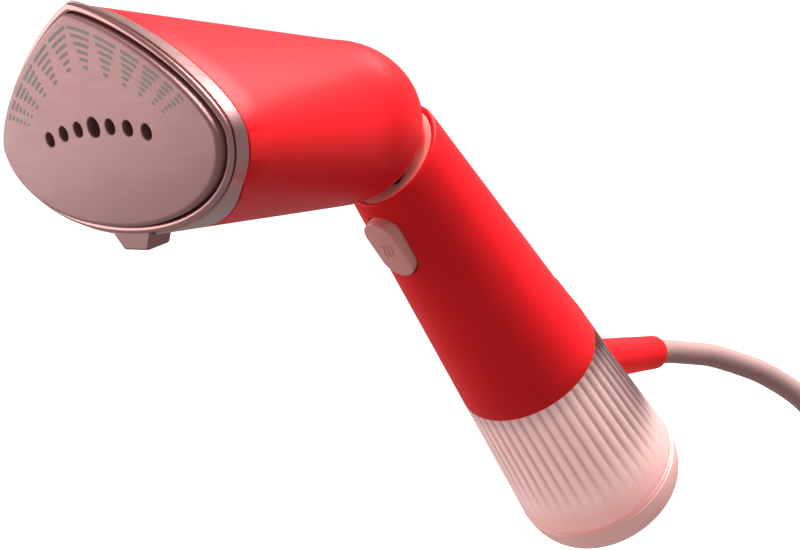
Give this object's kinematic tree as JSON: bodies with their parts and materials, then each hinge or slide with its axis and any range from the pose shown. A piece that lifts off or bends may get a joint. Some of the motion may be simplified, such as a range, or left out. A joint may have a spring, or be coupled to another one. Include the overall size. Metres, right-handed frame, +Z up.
{
  "type": "garment steamer",
  "caption": "Hand-held garment steamer: rounded triangular steam head that tilts on a tapered handle, with a trigger and a pull-off water tank.",
  "frame": {"origin": "the middle of the grip, on the handle's axis", "axes": "-X towards the soleplate, +X to the back, where the cord leaves, +Z up, +Y across the steamer"},
  "size_m": [0.3167, 0.132, 0.4307],
  "materials": {
    "red_shell": "satin",
    "rose_metal": "satin rose coating",
    "pink_plastic": "satin",
    "tank_plastic": "frosted translucent",
    "cord_jacket": "matt",
    "steel": "plain",
    "cast_block": "as cast",
    "black_plastic": "moulded",
    "grey_rubber": "moulded",
    "white_plastic": "moulded",
    "brass": "turned",
    "copper": "wound wire",
    "board": "lacquered"
  },
  "bodies": {
    "handle": {"handle_shell": "red_shell", "joint_collar": "pink_plastic", "pivot_arm": "black_plastic", "slot_shutter": "pink_plastic", "hinge_pin": "steel", "friction_washer_near": "steel", "friction_washer_far": "steel", "handle_chassis": "black_plastic", "pump_body": "white_plastic", "pump_coil": "copper", "pump_hose": "white_plastic", "control_board": "board", "board_screw_1": "steel", "board_screw_2": "steel", "relay": "black_plastic", "capacitor": "grey_rubber", "microswitch": "black_plastic", "terminal_block": "white_plastic", "inner_cable": "black_plastic", "trigger_spring": "steel", "spring_seat": "black_plastic", "tank_dock": "black_plastic", "dock_seal": "grey_rubber", "cord_gland": "red_shell", "cord": "cord_jacket", "cord_hank": "cord_jacket", "cord_tie": "black_plastic", "plug_body": "cord_jacket", "plug_pin_1": "steel", "plug_pin_2": "steel"},
    "head": {"head_shell": "red_shell", "bezel": "rose_metal", "soleplate": "rose_metal", "steam_chamber": "cast_block", "chamber_cover": "cast_block", "lid_screw_1": "steel", "lid_screw_2": "steel", "heating_element": "steel", "heat_shield": "white_plastic", "thermostat": "steel", "thermal_fuse": "white_plastic", "water_inlet": "brass", "head_hose": "white_plastic", "rotary_coupling": "brass", "head_chassis": "black_plastic", "hinge_bush_near": "brass", "hinge_bush_far": "brass"},
    "trigger": {"trigger": "pink_plastic"},
    "tank": {"water_tank": "tank_plastic", "tank_seal": "grey_rubber", "tank_base": "tank_plastic", "outlet_valve": "white_plastic", "pickup_tube": "white_plastic", "pickup_filter": "steel"},
    "filler": {"filler_plug": "grey_rubber"}
  },
  "joints": [
    {"name": "head_tilt", "type": "hinge", "parent": "handle", "child": "head", "pos_m": [-0.04719, 0, 0.04786], "axis": [0, 1, 0], "range_deg": [0, 53]},
    {"name": "trigger_press", "type": "slide", "parent": "handle", "child": "trigger", "axis": [0.7976, 0, 0.6032], "range_m": [0, 0.002], "stiffness_N_per_m": 500, "springref_m": -0.004, "deforming": ["trigger_spring"]},
    {"name": "tank_pull", "type": "slide", "parent": "handle", "child": "tank", "axis": [0.6032, 0, -0.7976], "range_m": [0, 0.06]},
    {"name": "filler_plug_pull", "type": "slide", "parent": "tank", "child": "filler", "axis": [-0.6032, 0, 0.7976], "range_m": [0, 0.0045]}
  ]
}
